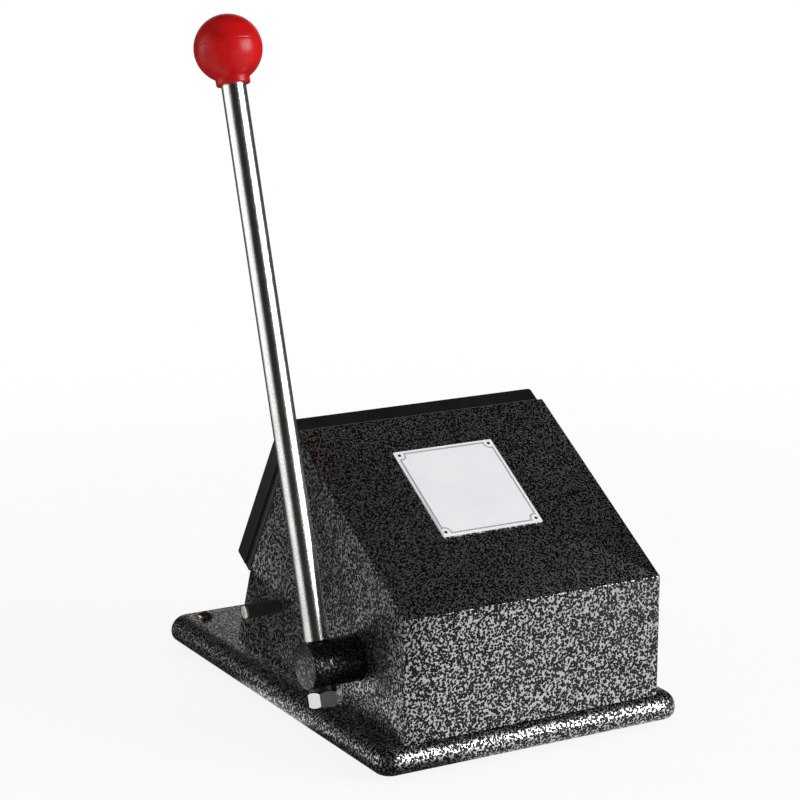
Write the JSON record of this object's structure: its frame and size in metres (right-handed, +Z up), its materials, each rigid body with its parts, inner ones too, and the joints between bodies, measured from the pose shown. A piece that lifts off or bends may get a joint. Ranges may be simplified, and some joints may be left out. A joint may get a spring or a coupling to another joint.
{
  "type": "identity card cutter",
  "caption": "Bench card cutter: a side lever with a ball knob turns a cam that drives a card-sized punch out through a die plate on the rear slope of a wedge-shaped housing.",
  "frame": {"origin": "middle of the base's outline, on the plane under the feet", "axes": "+X along the shaft, away from the lever; +Y from the label side to the die side; +Z up"},
  "size_m": [0.2555, 0.315, 0.4597],
  "materials": {
    "hammertone": "black and silver hammertone powder coat",
    "foot_rubber": "matt",
    "foot_screw_zinc": "yellow zinc plate",
    "black_screw": "black oxide",
    "label_white": "printed white aluminium",
    "rivet_dark": "dark paint",
    "black_plate": "black oxide, satin",
    "ground_steel": "ground",
    "machined_steel": "machined",
    "bronze": "oiled bearing bronze",
    "plated_steel": "bright zinc plate",
    "zinc_nut": "bright zinc plate",
    "sleeve_rubber": "satin",
    "ball_red": "moulded, glossy",
    "spring_steel": "drawn wire"
  },
  "bodies": {
    "frame": {"base_plate": "hammertone", "foot_front_left": "foot_rubber", "foot_front_right": "foot_rubber", "foot_rear_left": "foot_rubber", "foot_rear_right": "foot_rubber", "foot_screw_front_left": "foot_screw_zinc", "foot_screw_front_right": "foot_screw_zinc", "foot_screw_rear_left": "foot_screw_zinc", "foot_screw_rear_right": "foot_screw_zinc", "housing": "hammertone", "housing_screw_front_left": "black_screw", "housing_screw_front_right": "black_screw", "housing_screw_rear_left": "black_screw", "housing_screw_rear_right": "black_screw", "label_plate": "label_white", "label_rivet_top_left": "rivet_dark", "label_rivet_top_right": "rivet_dark", "label_rivet_low_left": "rivet_dark", "label_rivet_low_right": "rivet_dark", "die_plate": "black_plate", "spacer_left": "black_plate", "spacer_right": "black_plate", "stripper_plate": "black_plate", "die_screw_top_left": "black_screw", "die_screw_top_right": "black_screw", "die_screw_low_left": "black_screw", "die_screw_low_right": "black_screw", "dowel_left": "ground_steel", "dowel_right": "ground_steel", "guide_plate": "ground_steel", "cheek_left": "machined_steel", "cheek_right": "machined_steel", "cheek_screw_front_left": "black_screw", "cheek_screw_front_right": "black_screw", "cheek_screw_rear_left": "black_screw", "cheek_screw_rear_right": "black_screw", "shaft_bush_left": "bronze", "shaft_bush_right": "bronze", "guide_post_left": "ground_steel", "guide_post_right": "ground_steel", "stop_pin": "plated_steel", "stop_sleeve": "sleeve_rubber", "stop_nut": "zinc_nut", "return_spring_left": "spring_steel", "return_spring_right": "spring_steel"},
    "lever": {"cam_shaft": "hammertone", "shaft_collar": "machined_steel", "cam_key": "machined_steel", "press_cam": "machined_steel", "lever_rod": "plated_steel", "lever_nut": "zinc_nut", "ball_knob": "ball_red"},
    "ram": {"ram": "machined_steel", "ram_bush_left": "bronze", "ram_bush_right": "bronze", "punch": "ground_steel", "punch_screw_left": "black_screw", "punch_screw_right": "black_screw", "roller_pin": "ground_steel"},
    "roller": {"cam_roller": "ground_steel"}
  },
  "joints": [
    {"name": "lever_swing", "type": "hinge", "parent": "frame", "child": "lever", "pos_m": [0, -0.0915, 0.063], "axis": [-1, 0, 0], "range_deg": [0, 63.03], "stiffness_Nm_per_rad": 1, "springref_deg": -85.94},
    {"name": "ram_slide", "type": "slide", "parent": "frame", "child": "ram", "axis": [0, 0.854, 0.5202], "range_m": [0, 0.014], "deforming": ["return_spring_left", "return_spring_right"]},
    {"name": "roller_spin", "type": "hinge", "parent": "ram", "child": "roller", "pos_m": [0, -0.06417, 0.07965], "axis": [1, 0, 0], "continuous": true}
  ],
  "couplings": [
    {"joint": "ram_slide", "follows": "lever_swing", "m_per_rad": 0.01273}
  ]
}
